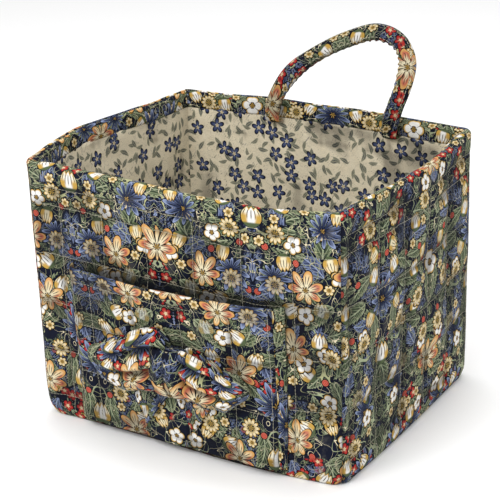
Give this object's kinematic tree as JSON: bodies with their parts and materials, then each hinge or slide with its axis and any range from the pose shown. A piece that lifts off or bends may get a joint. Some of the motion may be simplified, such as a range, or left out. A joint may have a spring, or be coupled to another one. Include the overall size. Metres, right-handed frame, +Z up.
{
  "type": "fabric storage basket",
  "caption": "Quilted fabric storage basket, open on top, with a gusseted front pocket, a bow and padded strap handles that fold in.",
  "frame": {"origin": "centre of the flat underside, midway between the side walls and between the front and back walls", "axes": "+Z up out of the open top, -Y out of the front face with the pocket and bow, +X to the right seen from the front"},
  "size_m": [0.2967, 0.2903, 0.2914],
  "materials": {
    "printed_cotton": "matte printed quilted cotton",
    "lining_cotton": "matte printed cotton",
    "wadding": "soft polyester wadding",
    "board": "plain board"
  },
  "bodies": {
    "basket": {"outer_front": "printed_cotton", "outer_right": "printed_cotton", "outer_back": "printed_cotton", "outer_left": "printed_cotton", "wadding_front": "wadding", "wadding_right": "wadding", "wadding_back": "wadding", "wadding_left": "wadding", "lining_front": "lining_cotton", "lining_right": "lining_cotton", "lining_back": "lining_cotton", "lining_left": "lining_cotton", "outer_base": "printed_cotton", "wadding_base": "wadding", "base_board": "board", "lining_base": "lining_cotton", "rim_facing": "printed_cotton", "pocket_front": "printed_cotton", "pocket_left_gusset": "printed_cotton", "pocket_right_gusset": "printed_cotton", "bow_left_loop": "printed_cotton", "bow_right_loop": "printed_cotton", "bow_knot": "printed_cotton", "bow_left_tail": "printed_cotton", "bow_right_tail": "printed_cotton", "back_handle_left_end": "printed_cotton", "back_handle_right_end": "printed_cotton", "front_handle_left_end": "printed_cotton", "front_handle_right_end": "printed_cotton"},
    "back_handle": {"back_handle_strap": "printed_cotton"},
    "front_handle": {"front_handle_strap": "printed_cotton"}
  },
  "joints": [
    {"name": "back_handle_fold", "type": "hinge", "parent": "basket", "child": "back_handle", "pos_m": [0.012, 0.10479, 0.204], "axis": [1, 0, 0], "range_deg": [0, 178]},
    {"name": "front_handle_fold", "type": "hinge", "parent": "basket", "child": "front_handle", "pos_m": [0.012, -0.10476, 0.201], "axis": [1, 0, 0], "range_deg": [0, 180]}
  ]
}
